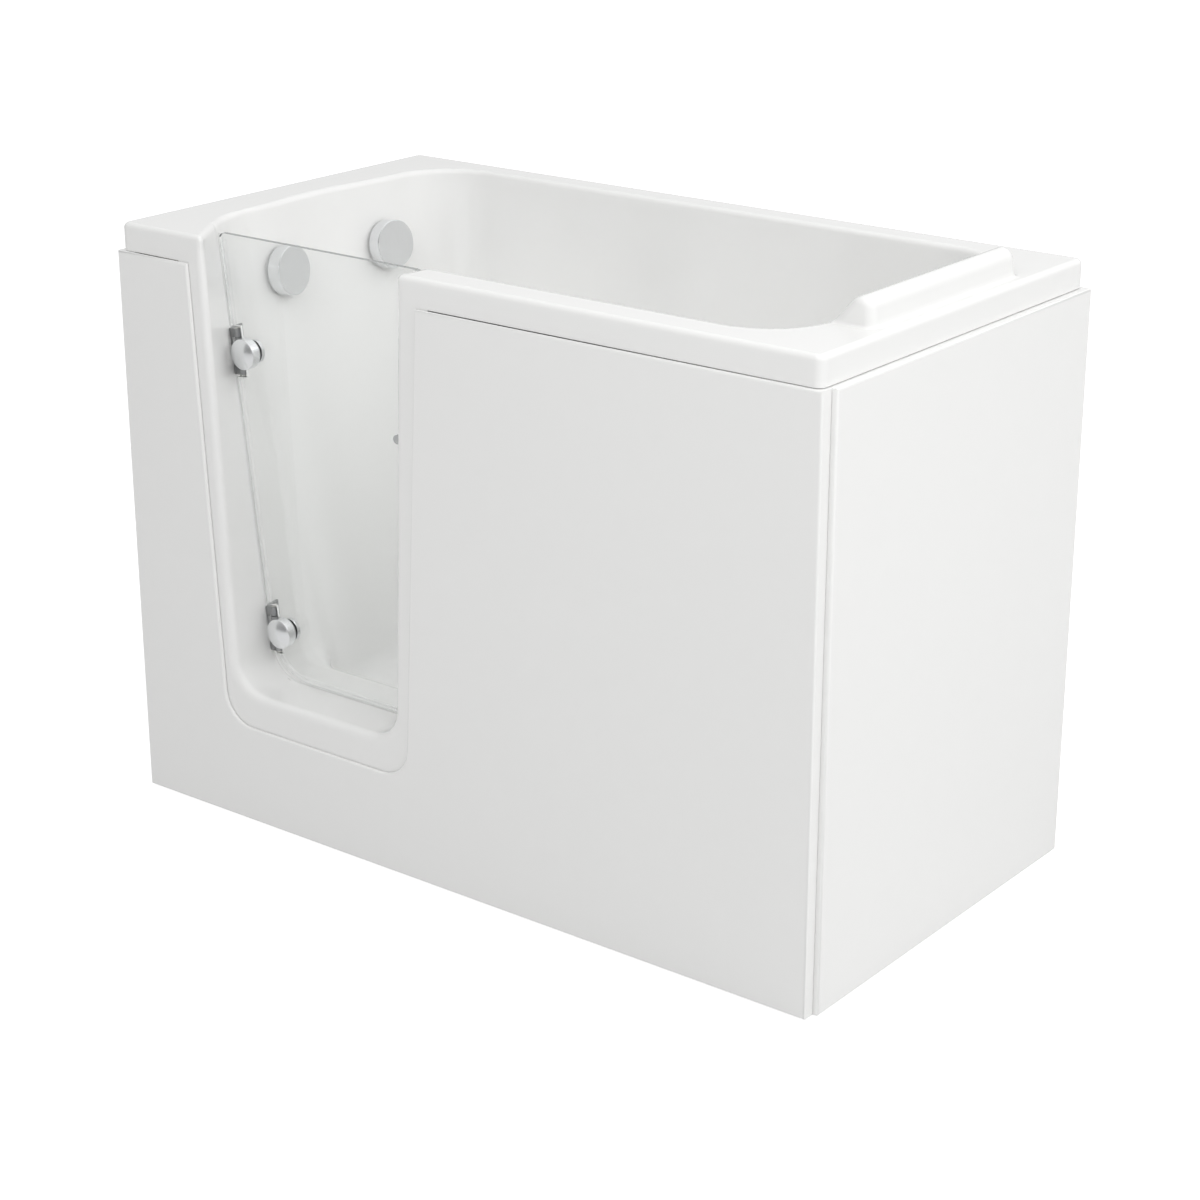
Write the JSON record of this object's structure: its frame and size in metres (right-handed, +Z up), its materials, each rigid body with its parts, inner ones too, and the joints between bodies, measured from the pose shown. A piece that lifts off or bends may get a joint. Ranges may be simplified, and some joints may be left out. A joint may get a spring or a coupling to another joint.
{
  "type": "walk-in bathtub",
  "caption": "Walk-in bathtub with an inward-opening glass door in a U-shaped doorway, a raised seat with headrest, a front panel and an end panel.",
  "frame": {"origin": "on the floor, under the middle of the bath's length and width", "axes": "+X along the bath from the door end to the headrest end, -Y towards the front panel, +Z up"},
  "size_m": [1.2188, 0.65, 0.92],
  "materials": {
    "acrylic": "gloss",
    "glass": "clear",
    "seal": "satin",
    "chrome": "polished",
    "steel": "satin",
    "zinc": "zinc plated",
    "galvanised": "galvanised",
    "plywood": "raw",
    "timber": "sawn",
    "pipe": "satin",
    "cable": "satin",
    "rubber": "matte",
    "latch_plastic": "gloss",
    "foot": "zinc plated"
  },
  "bodies": {
    "bath": {"tub_shell": "acrylic", "front_panel": "acrylic", "end_panel": "acrylic", "base_board": "plywood", "seat_board": "plywood", "front_rim_battens": "timber", "back_rim_batten": "timber", "side_rim_battens": "timber", "front_rail": "galvanised", "back_rail": "galvanised", "left_cross_member": "galvanised", "middle_cross_member": "galvanised", "right_cross_member": "galvanised", "corner_posts": "galvanised", "seat_posts": "galvanised", "frame_bolts": "zinc", "foot_weld_nuts": "zinc", "foot_locknuts": "zinc", "panel_clips": "zinc", "upper_hinge_plate": "chrome", "lower_hinge_plate": "chrome", "hinge_pins": "steel", "hinge_plate_screws": "steel", "latch_keep": "chrome", "overflow_collars": "chrome", "overflow_gaskets": "rubber", "overflow_bodies": "pipe", "front_overflow_pipe": "pipe", "back_overflow_pipe": "pipe", "control_cables": "cable", "waste_flanges": "chrome", "waste_seals": "rubber", "front_waste_body": "pipe", "back_waste_body": "pipe", "collecting_pipe": "pipe", "trap": "pipe", "trap_cap": "pipe", "outlet_pipe": "pipe"},
    "door": {"door_glass": "glass", "door_seal": "seal", "upper_hinge_arm": "chrome", "lower_hinge_arm": "chrome", "upper_hinge_cap": "chrome", "lower_hinge_cap": "chrome", "hinge_clamps": "chrome", "hinge_gaskets": "rubber", "hinge_bolts": "steel", "latch_bush": "latch_plastic"},
    "latch": {"latch_handle": "chrome", "latch_cam": "steel", "latch_spindle": "chrome"},
    "front_dial": {"front_overflow_dial": "chrome"},
    "back_dial": {"back_overflow_dial": "chrome"},
    "front_plug": {"front_waste_plug": "chrome"},
    "back_plug": {"back_waste_plug": "chrome"},
    "front_left_foot": {"front_left_foot": "foot"},
    "back_left_foot": {"back_left_foot": "foot"},
    "front_right_foot": {"front_right_foot": "foot"},
    "back_right_foot": {"back_right_foot": "foot"}
  },
  "joints": [
    {"name": "door_swing", "type": "hinge", "parent": "bath", "child": "door", "pos_m": [-0.42861, -0.241, 0.49032], "axis": [-0.1137, 0, 0.9935], "range_deg": [0, 90]},
    {"name": "latch_turn", "type": "hinge", "parent": "door", "child": "latch", "pos_m": [-0.11474, -0.241, 0.617], "axis": [0, -1, 0], "range_deg": [0, 90]},
    {"name": "front_dial_turn", "type": "hinge", "parent": "bath", "child": "front_dial", "pos_m": [-0.50977, -0.091, 0.783], "axis": [0.9882, 0.1023, 0.1137], "range_deg": [0, 120]},
    {"name": "back_dial_turn", "type": "hinge", "parent": "bath", "child": "back_dial", "pos_m": [-0.5084, 0.133, 0.783], "axis": [0.9896, -0.0881, 0.1137], "range_deg": [0, 120]},
    {"name": "front_plug_lift", "type": "slide", "parent": "bath", "child": "front_plug", "axis": [0, 0, 1], "range_m": [0, 0.012]},
    {"name": "back_plug_lift", "type": "slide", "parent": "bath", "child": "back_plug", "axis": [0, 0, 1], "range_m": [0, 0.012]},
    {"name": "front_left_foot_screw", "type": "slide", "parent": "bath", "child": "front_left_foot", "axis": [0, 0, -1], "range_m": [0, 0.012]},
    {"name": "back_left_foot_screw", "type": "slide", "parent": "bath", "child": "back_left_foot", "axis": [0, 0, -1], "range_m": [0, 0.012]},
    {"name": "front_right_foot_screw", "type": "slide", "parent": "bath", "child": "front_right_foot", "axis": [0, 0, -1], "range_m": [0, 0.012]},
    {"name": "back_right_foot_screw", "type": "slide", "parent": "bath", "child": "back_right_foot", "axis": [0, 0, -1], "range_m": [0, 0.012]}
  ],
  "couplings": [
    {"joint": "front_plug_lift", "follows": "front_dial_turn", "m_per_rad": 0.0057295},
    {"joint": "back_plug_lift", "follows": "back_dial_turn", "m_per_rad": 0.0057295}
  ]
}
